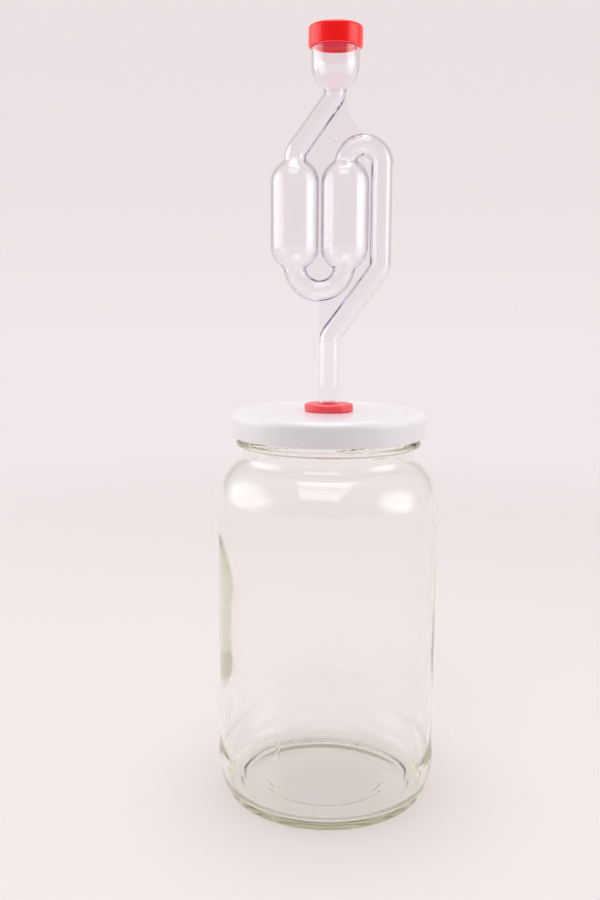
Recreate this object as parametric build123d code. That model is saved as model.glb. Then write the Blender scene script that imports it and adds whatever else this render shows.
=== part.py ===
from build123d import *
import math
import os

# Fermentation jar with a twist-off lid, a rubber grommet and a two-chamber airlock.
# Millimetres, +Z up. The jar's axis is Z and its bearing ring stands on z = 0.
# The airlock's tubes and chambers have their axes in the XZ plane, with its stem on Z.

# Glass jar body
jar_height = 170.9
body_radius = 48.4
glass_wall = 2.5
heel_height = 18.5
heel_radius = 40.0
foot_radius = 4.5
bearing_width = 1.8
base_hollow = 2.2
base_dome_start = 20.0
base_glass = 2.4
floor_rise = 0.8
floor_crown_radius = 12.0
floor_corner = 6.0
panel_recess = 0.45
panel_step = 4.5
panel_above_heel = 0.5
panel_below_shoulder = 7.5
shoulder_radius = 20.0

# Glass jar neck and rim: radii are steps from the sealing land, drops are measured down from the rim
land_radius = 38.9
neck_relief = 1.9
neck_straight = 2.8
neck_fillet = 4.0
bead_reach = 1.1
bead_bottom_drop = 13.5
bead_top_drop = 11.5
bead_round = 0.9
bead_fillet = 1.2
rim_outer_round = 1.5
rim_inner_round = 0.9
rim_glass = 3.5
rim_bore_drop = 10.0
bore_taper = 5.0

# Twist-off thread on the neck
thread_starts = 6
thread_lead = 20.0
thread_turn = 72.0
thread_first_angle = -88.0
thread_low_drop = 11.3
thread_height = 1.25
thread_root_width = 1.4
thread_tip_width = 0.7

# Sheet steel lid
lid_skirt_gap = 1.75
lid_steel = 0.4
lid_depth = 10.8
lid_corner = 3.5
lid_panel_setback = 0.9
lid_panel_drop = 0.4
lid_step_width = 0.6
curl_radius = 0.9
lug_gap = 0.45
lug_height = 1.4
lug_turn = 10.0

# Sealing ring under the lid
gasket_thickness = 0.9
gasket_overhang = 0.5
gasket_setback = 0.3

# Rubber grommet
grommet_groove_wall = 1.8
grommet_flange_reach = 4.1
grommet_flange_height = 3.3
grommet_plug_reach = 1.1
grommet_plug_taper = 0.7
grommet_plug_height = 5.9
grommet_round = 0.6

# Airlock tubes
tube_radius = 4.55
tube_wall = 1.1
stem_below_lid = 12.2
stem_above_lid = 31.7
side_bend_rise = 28.6
side_tube_offset = 21.2
bend_radius = 7.0
chamber_bend_rise = 12.4
cup_bend_rise = 22.6

# Airlock chambers and cup
chamber_radius = 10.05
chamber_wall = 1.1
chamber_above_bend = 9.2
chamber_length = 25.9
chamber_gap = 0.9
side_tube_gap = 0.6
tube_inset = 8.0
cup_radius = 10.05
cup_wall = 1.1
cup_axis_offset = 1.4
cup_above_bend = 12.0
cup_depth = 14.0
cup_inset = 7.6

# Weld flange and web at the airlock's middle plane
web_half = 0.8
chamber_rim = 0.35
tube_rim = 0.1
web_edge_sag = 2.2
gate_ring_radius = 1.15
gate_ring_width = 0.4
gate_ring_height = 0.3
gate_ring_offset = 0.8
gate_ring_rise = 5.3

# Cap on the cup
cap_wall = 1.1
cap_skirt = 6.9
cap_top_thickness = 1.5
cap_round = 1.3
cap_plug_wall = 1.0
cap_plug_depth = 5.5
vent_radius = 0.6
vent_ring_radius = 5.0
vent_count = 4

# Fits and overrun for cuts
running_fit = 0.05
overrun = 2.0

# Places worked out from the sizes above
neck_radius = land_radius - neck_relief
bead_radius = land_radius + bead_reach
rim_bore_radius = land_radius - rim_glass
thread_radius = land_radius + thread_height
gasket_inner_radius = rim_bore_radius - gasket_overhang
gasket_outer_radius = land_radius - gasket_setback
lid_radius = thread_radius + lid_skirt_gap + lid_steel
lid_panel_radius = gasket_inner_radius - lid_panel_setback
lug_radius = land_radius + lug_gap
lid_top = jar_height + gasket_thickness + lid_steel
lid_bottom = lid_top - lid_depth
panel_z = lid_top - lid_panel_drop
stem_bore_radius = tube_radius + running_fit
grommet_groove_radius = stem_bore_radius + grommet_groove_wall
grommet_flange_radius = grommet_groove_radius + grommet_flange_reach
grommet_plug_radius = grommet_groove_radius + grommet_plug_reach
grommet_tip_radius = grommet_plug_radius - grommet_plug_taper
hole_radius = grommet_groove_radius + running_fit
grommet_top = panel_z + grommet_flange_height
stem_bottom = lid_top - stem_below_lid
stem_bend_z = lid_top + stem_above_lid
side_bend_z = stem_bend_z + side_bend_rise
top_arc_radius = (chamber_radius + side_tube_gap + tube_radius) / 2
u_bend_radius = chamber_radius + chamber_gap / 2
chamber_right_x = side_tube_offset - 2 * top_arc_radius
chamber_left_x = chamber_right_x - 2 * u_bend_radius
chamber_low_z = side_bend_z + chamber_above_bend
chamber_high_z = chamber_low_z + chamber_length
tube_top_z = chamber_high_z + tube_inset
u_bend_z = chamber_low_z - tube_inset
chamber_bend_z = chamber_high_z + chamber_bend_rise
cup_bend_z = chamber_bend_z + cup_bend_rise
cup_sphere_z = cup_bend_z + cup_above_bend
cup_rim = cup_sphere_z + cup_depth
cap_top = cup_rim + cap_top_thickness
cap_bore_radius = cup_radius + running_fit
cap_radius = cap_bore_radius + cap_wall


def turned(*edges):
    """Solid of revolution about Z of a closed outline of radius and height."""
    return revolve(Plane.XZ * make_face(edges), Axis.Z)


def jar_outline():
    """Outline of half the jar's section, from the base outside to the base inside."""
    heel = Vector(body_radius - heel_radius, heel_height)
    foot_reach = math.sqrt((heel_radius - foot_radius) ** 2 - (heel_height - foot_radius) ** 2)
    foot = Vector(heel.X + foot_reach, foot_radius)
    bearing_x = foot.X - bearing_width
    dome_reach = bearing_x - base_dome_start
    dome_radius = (dome_reach ** 2 + base_hollow ** 2) / (2 * base_hollow)
    dome_turn = math.degrees(math.asin(dome_reach / dome_radius))
    heel_turn = math.degrees(math.atan2(foot.Y - heel.Y, foot.X - heel.X))

    bead_bottom = jar_height - bead_bottom_drop
    bead_top = jar_height - bead_top_drop
    neck = Vector(neck_radius + neck_fillet, bead_bottom - bead_fillet - neck_straight)
    shoulder_x = body_radius - shoulder_radius
    reach = shoulder_radius + neck_fillet
    shoulder = Vector(shoulder_x, neck.Y - math.sqrt(reach ** 2 - (neck.X - shoulder_x) ** 2))
    neck_turn = math.degrees(math.atan2(neck.Y - shoulder.Y, neck.X - shoulder.X))

    panel_radius = body_radius - panel_recess
    panel_bottom = heel.Y + panel_above_heel
    panel_top = shoulder.Y - panel_below_shoulder
    bead_x = bead_radius - bead_round
    rim_x = land_radius - rim_outer_round
    lip_x = rim_bore_radius + rim_inner_round
    bore = neck_radius - glass_wall
    rim_bore_z = jar_height - rim_bore_drop
    inner = body_radius - glass_wall
    floor_z = base_hollow + base_glass
    inner_heel = heel_radius - glass_wall
    corner_drop = heel.Y - floor_z - floor_corner
    corner_reach = inner_heel - floor_corner
    corner_x = heel.X + math.sqrt(corner_reach ** 2 - corner_drop ** 2)
    corner_turn = -math.degrees(math.asin(corner_drop / corner_reach))

    underside = [
        Line((0, base_hollow), (base_dome_start, base_hollow)),
        CenterArc((base_dome_start, base_hollow - dome_radius), dome_radius, 90, -dome_turn),
        Line((bearing_x, 0), (foot.X, 0)),
    ]
    body = [
        CenterArc((foot.X, foot.Y), foot_radius, -90, 90 + heel_turn),
        CenterArc((heel.X, heel.Y), heel_radius, heel_turn, -heel_turn),
        Polyline(
            (body_radius, heel_height),
            (body_radius, panel_bottom),
            (panel_radius, panel_bottom + panel_step),
            (panel_radius, panel_top - panel_step),
            (body_radius, panel_top),
            (body_radius, shoulder.Y),
        ),
        CenterArc((shoulder.X, shoulder.Y), shoulder_radius, 0, neck_turn),
        CenterArc((neck.X, neck.Y), neck_fillet, 180 + neck_turn, -neck_turn),
    ]
    finish = [
        Line((neck_radius, neck.Y), (neck_radius, bead_bottom - bead_fillet)),
        CenterArc((neck_radius + bead_fillet, bead_bottom - bead_fillet), bead_fillet, 180, -90),
        Line((neck_radius + bead_fillet, bead_bottom), (bead_x, bead_bottom)),
        CenterArc((bead_x, bead_bottom + bead_round), bead_round, -90, 90),
        Line((bead_radius, bead_bottom + bead_round), (bead_radius, bead_top - bead_round)),
        CenterArc((bead_x, bead_top - bead_round), bead_round, 0, 90),
        Polyline(
            (bead_x, bead_top),
            (land_radius, bead_top),
            (land_radius, jar_height - rim_outer_round),
        ),
        CenterArc((rim_x, jar_height - rim_outer_round), rim_outer_round, 0, 90),
        Line((rim_x, jar_height), (lip_x, jar_height)),
        CenterArc((lip_x, jar_height - rim_inner_round), rim_inner_round, 90, 90),
    ]
    inside = [
        Polyline(
            (rim_bore_radius, jar_height - rim_inner_round),
            (rim_bore_radius, rim_bore_z),
            (bore, rim_bore_z - bore_taper),
            (bore, neck.Y),
        ),
        CenterArc((neck.X, neck.Y), neck_fillet + glass_wall, 180, neck_turn),
        CenterArc((shoulder.X, shoulder.Y), shoulder_radius - glass_wall, neck_turn, -neck_turn),
        Line((inner, shoulder.Y), (inner, heel.Y)),
        CenterArc((heel.X, heel.Y), inner_heel, 0, corner_turn),
        CenterArc((corner_x, floor_z + floor_corner), floor_corner, corner_turn, -90 - corner_turn),
        Polyline(
            (corner_x, floor_z),
            (floor_crown_radius, floor_z + floor_rise),
            (0, floor_z + floor_rise),
            (0, base_hollow),
        ),
    ]
    return underside + body + finish + inside


def thread_ridge():
    """One thread ridge: a tapered rib swept round an axis that leans by the thread's slope."""
    slope = math.degrees(math.atan2(thread_lead, 2 * math.pi * thread_radius))
    root = (land_radius + rim_bore_radius) / 2
    flank = (thread_root_width - thread_tip_width) / (thread_radius - land_radius)
    root_width = thread_tip_width + flank * (thread_radius - root)
    section = make_face(
        Polyline(
            (root, -root_width / 2),
            (thread_radius, -thread_tip_width / 2),
            (thread_radius, thread_tip_width / 2),
            (root, root_width / 2),
            close=True,
        )
    )
    ridge = revolve(Rot(0, 0, -thread_turn / 2) * (Plane.XZ * section), Axis.Z, thread_turn)
    return Rot(slope, 0, 0) * ridge


def glass_jar():
    """Jar of pressed glass with the thread ridges and their neck bead."""
    jar = turned(*jar_outline())
    middle_z = jar_height - thread_low_drop + thread_lead * thread_turn / 360 / 2
    ridge = thread_ridge()
    for start in range(thread_starts):
        angle = thread_first_angle + thread_turn / 2 + start * 360 / thread_starts
        jar += Pos(0, 0, middle_z) * Rot(0, 0, angle) * ridge
    return jar


def lid_shell():
    """Steel lid with a raised border, an inward curl and one lug for each thread start."""
    corner = (lid_radius - lid_corner, lid_top - lid_corner)
    wall = lid_radius - lid_steel
    curl = (lid_radius - curl_radius, lid_bottom + curl_radius)
    curl_meet = math.degrees(math.acos((curl_radius - lid_steel) / curl_radius))
    step_x = lid_panel_radius + lid_step_width
    shift = lid_steel * math.tan(math.atan2(lid_panel_drop, lid_step_width) / 2)
    roll = CenterArc(curl, curl_radius, 0, curl_meet - 360)
    shell = turned(
        Polyline(
            (hole_radius, panel_z),
            (lid_panel_radius, panel_z),
            (step_x, lid_top),
            (corner[0], lid_top),
        ),
        CenterArc(corner, lid_corner, 90, -90),
        Line((lid_radius, corner[1]), (lid_radius, curl[1])),
        roll,
        Line(roll @ 1, (wall, corner[1])),
        CenterArc(corner, lid_corner - lid_steel, 0, 90),
        Polyline(
            (corner[0], lid_top - lid_steel),
            (step_x + shift, lid_top - lid_steel),
            (lid_panel_radius + shift, panel_z - lid_steel),
            (hole_radius, panel_z - lid_steel),
            (hole_radius, panel_z),
        ),
    )
    lug_z = lid_bottom + lug_height / 2
    rise = lug_z - (jar_height - thread_low_drop) - thread_lead / thread_starts / 2
    first_angle = thread_first_angle + rise * 360 / thread_lead
    lug = revolve(Rot(0, 0, -lug_turn / 2) * (Plane.XZ * lug_section(curl[0])), Axis.Z, lug_turn)
    for number in range(thread_starts):
        shell += Rot(0, 0, first_angle + number * 360 / thread_starts) * lug
    return shell


def lug_section(root):
    """Section of a lug: a flat tongue with a half-round nose."""
    nose = lug_height / 2
    return make_face(
        [
            Line((root, lid_bottom), (lug_radius + nose, lid_bottom)),
            CenterArc((lug_radius + nose, lid_bottom + nose), nose, -90, -180),
            Polyline(
                (lug_radius + nose, lid_bottom + lug_height),
                (root, lid_bottom + lug_height),
                (root, lid_bottom),
            ),
        ]
    )


def lid_gasket():
    """Flat sealing ring between the jar's rim and the lid's raised border."""
    top = jar_height + gasket_thickness
    return turned(
        Polyline(
            (gasket_inner_radius, jar_height),
            (gasket_outer_radius, jar_height),
            (gasket_outer_radius, top),
            (gasket_inner_radius, top),
            close=True,
        )
    )


def grommet():
    """Rubber grommet: a top flange, a groove round the lid's hole and a tapered plug."""
    edge = grommet_flange_radius - grommet_round
    under = panel_z - lid_steel
    return turned(
        Polyline(
            (stem_bore_radius, under - grommet_plug_height),
            (grommet_tip_radius, under - grommet_plug_height),
            (grommet_plug_radius, under),
            (grommet_groove_radius, under),
            (grommet_groove_radius, panel_z),
            (edge, panel_z),
        ),
        CenterArc((edge, panel_z + grommet_round), grommet_round, -90, 90),
        Line(
            (grommet_flange_radius, panel_z + grommet_round),
            (grommet_flange_radius, grommet_top - grommet_round),
        ),
        CenterArc((edge, grommet_top - grommet_round), grommet_round, 0, 90),
        Polyline(
            (edge, grommet_top),
            (stem_bore_radius + grommet_round, grommet_top),
            (stem_bore_radius, grommet_top - grommet_round),
            (stem_bore_radius, under - grommet_plug_height),
        ),
    )


def tube_routes(stem_extra=0):
    """Centre lines of the stem and side tube, of the bend between the chambers and of the cup's tube."""
    stem = FilletPolyline(
        (0, stem_bottom - stem_extra),
        (0, stem_bend_z),
        (side_tube_offset, side_bend_z),
        (side_tube_offset, tube_top_z),
        radius=bend_radius,
    )
    arc = CenterArc((side_tube_offset - top_arc_radius, tube_top_z), top_arc_radius, 0, 180)
    u_bend = CenterArc((chamber_left_x + u_bend_radius, u_bend_z), u_bend_radius, 180, 180)
    upper = FilletPolyline(
        (chamber_left_x, tube_top_z),
        (chamber_left_x, chamber_bend_z),
        (cup_axis_offset, cup_bend_z),
        (cup_axis_offset, cup_sphere_z - cup_inset),
        radius=bend_radius,
    )
    return [Wire([*stem.edges(), *arc.edges()]), Wire(u_bend.edges()), Wire(upper.edges())]


def tubes(radius, stem_extra=0):
    """Solid rods of one radius along all the airlock's tube centre lines."""
    rods = []
    for route in tube_routes(stem_extra):
        path = Plane.XZ * route
        start = Plane(path @ 0, z_dir=path % 0)
        rods.append(sweep(start * Circle(radius), path))
    return rods


def chamber(radius, x):
    """Solid of one radius round a chamber's axis, with a half sphere at each end."""
    body = turned(
        CenterArc((0, chamber_low_z), radius, -90, 90),
        Line((radius, chamber_low_z), (radius, chamber_high_z)),
        CenterArc((0, chamber_high_z), radius, 0, 90),
        Line((0, chamber_high_z + radius), (0, chamber_low_z - radius)),
    )
    return Pos(x, 0, 0) * body


def cup(radius, top):
    """Solid of one radius round the cup's axis, round below and flat at the top."""
    body = turned(
        CenterArc((0, cup_sphere_z), radius, -90, 90),
        Polyline(
            (radius, cup_sphere_z),
            (radius, top),
            (0, top),
            (0, cup_sphere_z - radius),
        ),
    )
    return Pos(cup_axis_offset, 0, 0) * body


def stroke(start, end, width):
    """Flat strip of one width with round ends between two points."""
    run = Vector(*end) - Vector(*start)
    middle = (Vector(*start) + Vector(*end)) / 2
    turn = math.degrees(math.atan2(run.Y, run.X))
    return Pos(middle.X, middle.Y) * Rot(0, 0, turn) * SlotCenterToCenter(run.length, width)


def arc_strip(x, z, radius, width, upper):
    """Flat half ring of one width about a point, above or below it."""
    outer = radius + width / 2
    ring = Pos(x, z) * (Circle(outer) - Circle(radius - width / 2))
    align = Align.MIN if upper else Align.MAX
    return ring & (Pos(x, z) * Rectangle(2 * outer, outer, align=(Align.CENTER, align)))


def web_face():
    """Web between the tubes: an outline through their centre lines with two free edges."""
    cup_side = cup_axis_offset + tube_radius
    top_side = side_tube_offset - top_arc_radius
    top_z = tube_top_z + top_arc_radius + tube_radius
    free_start = Vector(cup_side, cup_bend_z)
    free_end = Vector(top_side, top_z)
    run = free_end - free_start
    side = Vector(run.Y, -run.X).normalized() * web_edge_sag
    sag = (free_start + free_end) / 2 + side
    return make_face(
        [
            Polyline(
                (top_side, top_z),
                (side_tube_offset, tube_top_z),
                (side_tube_offset, side_bend_z),
                (0, stem_bend_z),
                (-tube_radius, stem_bend_z),
                (-tube_radius, u_bend_z - u_bend_radius),
                (chamber_left_x, u_bend_z),
                (chamber_left_x, chamber_bend_z),
                (cup_axis_offset, cup_bend_z),
                (cup_side, cup_bend_z),
            ),
            ThreePointArc((cup_side, cup_bend_z), (sag.X, sag.Y), (top_side, top_z)),
        ]
    )


def middle_plate():
    """Weld flange round the tubes and chambers, and the web between them."""
    tube_width = 2 * (tube_radius + tube_rim)
    bend_width = 2 * (tube_radius + chamber_rim)
    chamber_width = 2 * (chamber_radius + chamber_rim)
    plate = web_face()
    plate += stroke((0, stem_bend_z), (side_tube_offset, side_bend_z), tube_width)
    plate += stroke((side_tube_offset, side_bend_z), (side_tube_offset, tube_top_z), tube_width)
    plate += arc_strip(side_tube_offset - top_arc_radius, tube_top_z, top_arc_radius, bend_width, True)
    plate += arc_strip(chamber_left_x + u_bend_radius, u_bend_z, u_bend_radius, bend_width, False)
    for x in (chamber_left_x, chamber_right_x):
        plate += stroke((x, chamber_low_z), (x, chamber_high_z), chamber_width)
    bend = (chamber_left_x, chamber_bend_z)
    plate += stroke((chamber_left_x, tube_top_z), bend, tube_width)
    plate += stroke(bend, (cup_axis_offset, cup_bend_z), tube_width)
    return extrude(Plane.XZ * plate, web_half, both=True)


def airlock_body():
    """Whole airlock before it is parted: tubes, chambers, cup and plate, with one cavity."""
    bore = tube_radius - tube_wall
    solid = cup(cup_radius, cup_rim) + middle_plate()
    hollow = cup(cup_radius - cup_wall, cup_rim + overrun)
    for x in (chamber_left_x, chamber_right_x):
        solid += chamber(chamber_radius, x)
        hollow += chamber(chamber_radius - chamber_wall, x)
    for rod in tubes(tube_radius):
        solid += rod
    for rod in tubes(bore, overrun):
        hollow += rod
    return solid - hollow


def gate_ring():
    """Small raised ring on the web's front face, left by the moulding."""
    ring = Circle(gate_ring_radius) - Circle(gate_ring_radius - gate_ring_width)
    place = Plane.XZ * Pos(gate_ring_offset, chamber_bend_z + gate_ring_rise)
    return extrude(place * ring, web_half + gate_ring_height) - extrude(place * ring, web_half / 2)


def airlock_cap():
    """Cap with a skirt outside the cup, a plug ring inside it and small vents."""
    plug = cup_radius - cup_wall - running_fit
    plug_bore = plug - cap_plug_wall
    edge = cap_radius - cap_round
    shoulder_z = cap_top - cap_round
    skirt_z = cup_rim - cap_skirt
    cap = turned(
        Line((0, cup_rim), (0, cap_top)),
        Line((0, cap_top), (edge, cap_top)),
        CenterArc((edge, shoulder_z), cap_round, 90, -90),
        Polyline(
            (cap_radius, shoulder_z),
            (cap_radius, skirt_z),
            (cap_bore_radius, skirt_z),
            (cap_bore_radius, cup_rim),
            (plug, cup_rim),
            (plug, cup_rim - cap_plug_depth),
            (plug_bore, cup_rim - cap_plug_depth),
            (plug_bore, cup_rim),
            (0, cup_rim),
        ),
    )
    for number in range(vent_count):
        place = Rot(0, 0, number * 360 / vent_count) * Pos(vent_ring_radius, 0, cup_rim - overrun)
        cap -= place * Cylinder(
            vent_radius,
            cap_top_thickness + 2 * overrun,
            align=(Align.CENTER, Align.CENTER, Align.MIN),
        )
    return Pos(cup_axis_offset, 0, 0) * cap


os.makedirs("parts", exist_ok=True)
airlock = airlock_body()
pieces = {
    "glass_jar": glass_jar(),
    "lid_shell": lid_shell(),
    "lid_gasket": lid_gasket(),
    "grommet": grommet(),
    "airlock_front_shell": split(airlock, Plane.XZ, keep=Keep.TOP) + gate_ring(),
    "airlock_rear_shell": split(airlock, Plane.XZ, keep=Keep.BOTTOM),
    "airlock_cap": airlock_cap(),
}
for name, piece in pieces.items():
    export_step(piece, f"parts/{name}.step")
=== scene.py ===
import math

import bmesh
import bpy
import numpy as np
from mathutils import Matrix, Vector, noise


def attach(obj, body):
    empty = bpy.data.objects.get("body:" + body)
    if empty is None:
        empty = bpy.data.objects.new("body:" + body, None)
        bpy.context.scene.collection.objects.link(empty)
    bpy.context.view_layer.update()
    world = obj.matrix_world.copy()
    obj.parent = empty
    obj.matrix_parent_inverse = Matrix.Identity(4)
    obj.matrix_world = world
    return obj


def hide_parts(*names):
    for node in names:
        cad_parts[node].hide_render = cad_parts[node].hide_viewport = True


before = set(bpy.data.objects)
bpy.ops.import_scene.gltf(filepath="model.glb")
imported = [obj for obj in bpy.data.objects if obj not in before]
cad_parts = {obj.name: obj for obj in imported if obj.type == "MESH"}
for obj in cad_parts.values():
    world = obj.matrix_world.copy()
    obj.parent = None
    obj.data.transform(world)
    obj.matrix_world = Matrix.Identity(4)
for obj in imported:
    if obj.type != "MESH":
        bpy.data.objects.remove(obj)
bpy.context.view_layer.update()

# Sizes are in millimetres, with those of the main forms as in the part's source. MM turns them to metres.
MM = 0.001

# Jar
jar_height, body_radius, glass_wall = 170.9, 48.4, 2.5
heel_height, heel_radius, foot_radius, bearing_width = 18.5, 40.0, 4.5, 1.8
base_hollow, base_dome_start, base_glass = 2.2, 20.0, 2.4
floor_rise, floor_crown_radius, floor_corner = 0.8, 12.0, 6.0
panel_recess, panel_step, panel_above_heel, panel_below_shoulder = 0.45, 4.5, 0.5, 7.5
panel_low_round, panel_round = 3.0, 40.0
base_ring_radius, base_ring_width, base_ring_depth = 28.5, 0.9, 0.2
# The base ring runs round the front only. As shares of its radius, it starts this far in front of the
# middle and grows over this distance.
base_ring_start, base_ring_fade = 0.1, 0.3
knurl_ribs, knurl_radius, knurl_width, knurl_depth = 104, 37.4, 2.4, 0.4
seam_angle, seam_width, seam_height = -115.0, 0.9, 0.06
seam_low, seam_fade, seam_below_bead = 0.8, 6.0, 2.0
# The thick band in the wall: height, spread and rise of each part, then its angle and spread round the jar.
thick_band = ((99.0, 10.0, 1.5), (80.0, 14.0, 1.35), (62.0, 9.0, 1.5))
thick_band_angle, thick_band_spread = 180.0, 28.0
wave_height, wave_scale, wave_stretch = 0.3, 1.4, 0.02
uneven_low, uneven_low_fade, uneven_high, uneven_high_fade = 12.0, 20.0, 150.0, 10.0
shoulder_radius, land_radius, neck_relief, neck_straight, neck_fillet = 20.0, 38.9, 1.9, 2.8, 4.0
bead_reach, bead_bottom_drop, bead_top_drop, bead_round, bead_fillet = 1.1, 13.5, 11.5, 0.9, 1.2
rim_outer_round, rim_inner_round, rim_glass, rim_bore_drop, bore_taper = 1.5, 0.9, 3.5, 10.0, 5.0
thread_starts, thread_lead, thread_turn, thread_first_angle = 6, 20.0, 72.0, -88.0
thread_low_drop, thread_height, thread_root_width, thread_tip_width = 11.3, 1.25, 1.4, 0.7
thread_fade, land_fillet, bore_round = 3.0, 0.15, 3.0

# Lid and grommet
lid_radius, lid_steel, lid_depth, lid_corner = 42.3, 0.4, 10.8, 3.5
lid_panel_radius, lid_panel_drop, lid_step_width, curl_radius = 34.0, 0.4, 0.6, 0.9
lid_step_round, lug_gap, lug_turn, lug_height, lug_fade = 1.0, 0.45, 10.0, 1.4, 1.6
gasket_thickness, hole_gap = 0.9, 0.05
grommet_groove, grommet_flange, grommet_flange_height = 6.4, 10.5, 3.3
grommet_plug, grommet_tip, grommet_plug_height, stem_bore = 7.5, 6.8, 5.9, 4.6
lid_top = jar_height + gasket_thickness + lid_steel
lid_bottom = lid_top - lid_depth
panel_z = lid_top - lid_panel_drop

# Airlock
tube_radius, tube_wall, bend_radius = 4.55, 1.1, 7.0
stem_bottom, stem_bend_z, side_bend_z, side_tube_x = 160.0, 203.9, 232.5, 21.2
chamber_radius, chamber_low_z, chamber_high_z = 10.05, 241.7, 267.6
chamber_right_x, chamber_left_x, tube_inset = 6.0, -15.0, 8.0
top_arc_radius, u_bend_radius, chamber_bend_z, cup_bend_z = 7.6, 10.5, 280.0, 302.6
cup_x, cup_sphere_z, cup_rim = 1.4, 314.6, 328.6
web_half, chamber_rim, web_edge_sag = 0.8, 0.35, 2.2
gate_ring_radius, gate_ring_width, gate_ring_height, gate_ring_crest = 1.55, 0.65, 1.0, 0.03
gate_ring_x, gate_ring_z = 0.8, 285.3
junction_round, junction_near, junction_far = 1.6, 8.2, 10.6
lip_round, lip_inset = 0.25, 0.18
# The mesh of the airlock: points round each ring, and how far apart rings lie by the junctions and elsewhere.
ring_points, ring_close, ring_apart = 72, 0.2, 0.95
tube_top_z = chamber_high_z + tube_inset
u_bend_z = chamber_low_z - tube_inset

# Cap
cap_radius, cap_bore, cap_bottom, cap_top, cap_round = 11.2, 10.1, 321.7, 330.1, 1.3
cap_plug, cap_plug_wall, cap_plug_depth = 8.9, 1.0, 5.5
vent_radius, vent_ring_radius, vent_count = 0.6, 5.0, 4

# Edges that turn by more degrees than this stay crisp.
sharp_edge = 40.0


def linear(colour):
    """An sRGB hex colour as the linear colour that shaders take."""
    channels = [int(colour[i : i + 2], 16) / 255 for i in (1, 3, 5)]
    return tuple(c / 12.92 if c <= 0.04045 else ((c + 0.055) / 1.055) ** 2.4 for c in channels) + (1.0,)


# Settings that several nodes share.
tint, gentle = {"data_type": "RGBA"}, {"interpolation_type": "SMOOTHSTEP"}


# Sockets go by name or place. A MapRange has its value at 0, the range it reads at 1 and 2, and the range
# it gives at 3 and 4. A Mix has its factor at 0, its numbers at 2 and 3 and its colours at 6 and 7.
def add(tree, kind, settings=None, sockets=None):
    """A node with its settings, and its input sockets given values or linked to other nodes' outputs."""
    node = tree.nodes.new("ShaderNode" + kind)
    for name, value in (settings or {}).items():
        setattr(node, name, value)
    for name, value in (sockets or {}).items():
        if isinstance(value, bpy.types.NodeSocket):
            tree.links.new(value, node.inputs[name])
        else:
            node.inputs[name].default_value = value
    return node


def finish(name, **sockets):
    """A material with one Principled shader, whose sockets are given by name with _ for a space."""
    material = bpy.data.materials.new(name)
    material.use_nodes = True
    tree = material.node_tree
    tree.nodes.clear()
    shader = add(tree, "BsdfPrincipled", {}, {k.replace("_", " "): v for k, v in sockets.items()})
    add(tree, "OutputMaterial", {}, {"Surface": shader.outputs[0]})
    return material, tree, shader


def clear_body(material, tree, shader, colour, density):
    """Makes a finish a clear solid: it soaks up light by depth and lets the lamps' light through."""
    output = next(n for n in tree.nodes if n.type == "OUTPUT_MATERIAL")
    path = add(tree, "LightPath")
    shadow, diffuse = path.outputs["Is Shadow Ray"], path.outputs["Is Diffuse Ray"]
    straight = add(tree, "Math", {"operation": "MAXIMUM"}, {0: shadow, 1: diffuse})
    see_through = add(tree, "BsdfTransparent", {}, {"Color": linear("#FEFEFE")})
    choice = {0: straight.outputs[0], 1: shader.outputs[0], 2: see_through.outputs[0]}
    mix = add(tree, "MixShader", {}, choice)
    tree.links.new(mix.outputs[0], output.inputs["Surface"])
    depth = add(tree, "VolumeAbsorption", {}, {"Color": linear(colour), "Density": density})
    tree.links.new(depth.outputs[0], output.inputs["Volume"])
    return material


def pressed_soda_lime_glass():
    """Soda-lime glass, pressed, blown and fire polished: sharp, bright mirrors and green edges."""
    parts = finish(
        "pressed_soda_lime_glass",
        Base_Color=linear("#FFFFFF"),
        Transmission_Weight=1.0,
        Roughness=0.0,
        IOR=1.52,
    )
    return clear_body(*parts, colour="#C6D196", density=12.0)


def moulded_clear_styrene():
    """Clear polystyrene, injection moulded: smooth and bright, with violet grey edges from its toner."""
    parts = finish(
        "moulded_clear_styrene",
        Base_Color=linear("#FFFFFF"),
        Transmission_Weight=1.0,
        Roughness=0.0,
        IOR=1.57,
    )
    return clear_body(*parts, colour="#8C66D4", density=21.0)


def baked_white_lacquer():
    """White lacquer baked on tinplate: a bright coat with the faint waviness of roller coating."""
    material, tree, shader = finish(
        "baked_white_lacquer",
        Base_Color=linear("#EFEDEF"),
        Roughness=0.3,
        Coat_Weight=0.25,
        Coat_Roughness=0.2,
    )
    place = add(tree, "TexCoord").outputs["Object"]
    wave = add(tree, "TexNoise", {}, {"Vector": place, "Scale": 1 / (9 * MM), "Detail": 2.0})
    bump = add(tree, "Bump", {}, {"Height": wave.outputs[0], "Strength": 0.25, "Distance": 0.05 * MM})
    tree.links.new(bump.outputs[0], shader.inputs["Normal"])
    return material


def moulded_red_rubber():
    """Red rubber, compression moulded: a soft satin skin with a fine grain."""
    material, tree, shader = finish(
        "moulded_red_rubber",
        Roughness=0.32,
        Specular_IOR_Level=0.7,
        Subsurface_Weight=0.25,
        Subsurface_Radius=(1.0, 0.2, 0.15),
        Subsurface_Scale=1.5 * MM,
    )
    place = add(tree, "TexCoord").outputs["Object"]
    cloud = add(tree, "TexNoise", {}, {"Vector": place, "Scale": 1 / (4 * MM), "Detail": 3.0})
    tone = add(tree, "Mix", tint, {0: cloud.outputs[0], 6: linear("#F23A44"), 7: linear("#FA4A54")})
    tree.links.new(tone.outputs[2], shader.inputs["Base Color"])
    grain = add(tree, "TexNoise", {}, {"Vector": place, "Scale": 1 / (0.5 * MM), "Detail": 2.0})
    bump = add(tree, "Bump", {}, {"Height": grain.outputs[0], "Strength": 0.3, "Distance": 0.03 * MM})
    tree.links.new(bump.outputs[0], shader.inputs["Normal"])
    return material


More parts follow.
